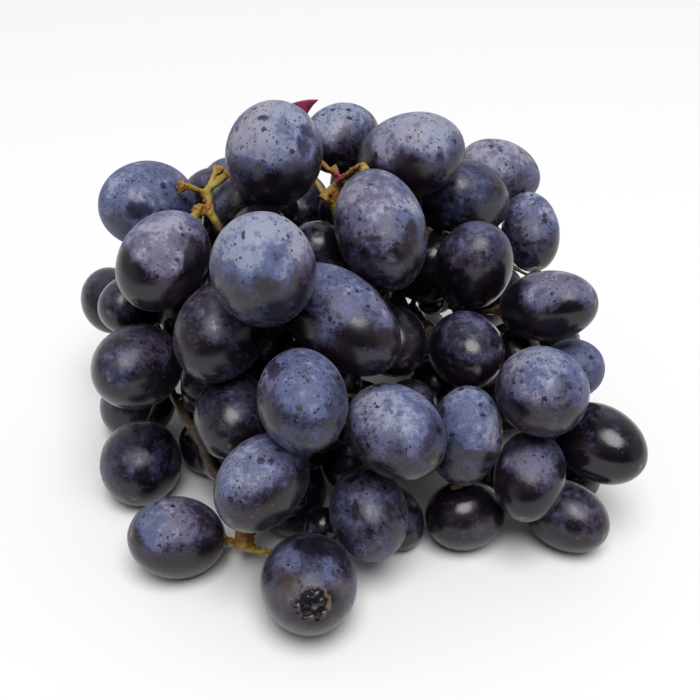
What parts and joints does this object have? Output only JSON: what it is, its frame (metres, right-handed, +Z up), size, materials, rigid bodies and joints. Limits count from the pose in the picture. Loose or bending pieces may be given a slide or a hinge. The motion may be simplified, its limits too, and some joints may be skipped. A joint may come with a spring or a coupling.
{
  "type": "bunch of grapes",
  "caption": "Full bunch of large oval black grapes with a dusty blue bloom, on a branched woody stem, lying on a table.",
  "frame": {"origin": "on the table, under the middle of the bunch's bounding box", "axes": "+Z up; -Y towards the side that is looked at, where the cut end of the stem comes out at the bottom; +X to the right of that side"},
  "size_m": [0.1558, 0.1456, 0.1051],
  "materials": {
    "skin_pale": "blue-black skin under a thick, patchy pale grey-blue bloom, nearly matt",
    "skin_blue": "blue-black skin under a thin blue bloom with darker patches, dull sheen",
    "skin_dark": "dark purple-black skin with little bloom, soft gloss",
    "stem": "yellow-green to brown, rough, with orange-brown warts and browner cut end",
    "torn_skin": "magenta inside and near black outside, moist sheen"
  },
  "bodies": {
    "root": {"stem": "stem", "torn_skin": "torn_skin", "berry_a": "skin_pale", "berry_b": "skin_pale", "berry_c": "skin_pale", "berry_d": "skin_pale", "berry_e": "skin_blue", "berry_f": "skin_blue", "berry_g": "skin_blue", "berry_h": "skin_dark", "berry_i": "skin_dark", "berry_j": "skin_blue", "berry_k": "skin_dark", "berry_l": "skin_pale", "berry_m": "skin_blue", "berry_n": "skin_dark", "berry_o": "skin_blue", "berry_p": "skin_blue", "berry_q": "skin_pale", "berry_r": "skin_dark", "berry_s": "skin_pale", "berry_t": "skin_pale", "berry_u": "skin_pale", "berry_v": "skin_pale", "berry_w": "skin_pale", "berry_x": "skin_pale", "berry_y": "skin_blue", "berry_z": "skin_pale", "berry_aa": "skin_blue", "berry_bb1": "skin_pale", "berry_bb2": "skin_pale", "berry_cc": "skin_blue", "berry_dd": "skin_blue", "berry_ee": "skin_blue", "berry_ff": "skin_blue", "berry_gg": "skin_pale", "berry_hh": "skin_pale", "berry_ii": "skin_blue", "berry_jj": "skin_blue", "berry_kk": "skin_blue", "berry_ll": "skin_blue", "berry_mm": "skin_blue", "berry_nn": "skin_dark", "berry_ss": "skin_blue", "berry_oo": "skin_dark", "berry_pp": "skin_dark", "berry_qq": "skin_dark", "berry_rr": "skin_dark", "berry_uu": "skin_dark", "berry_vv": "skin_dark", "berry_back_top": "skin_blue", "berry_back_top_right": "skin_blue", "berry_back_middle": "skin_blue", "berry_back_top_left": "skin_blue", "berry_back_left": "skin_blue", "berry_back_low_right": "skin_blue", "berry_back_low_left": "skin_blue", "berry_table_back": "skin_blue", "berry_table_left": "skin_blue", "berry_table_right": "skin_blue"}
  },
  "joints": []
}
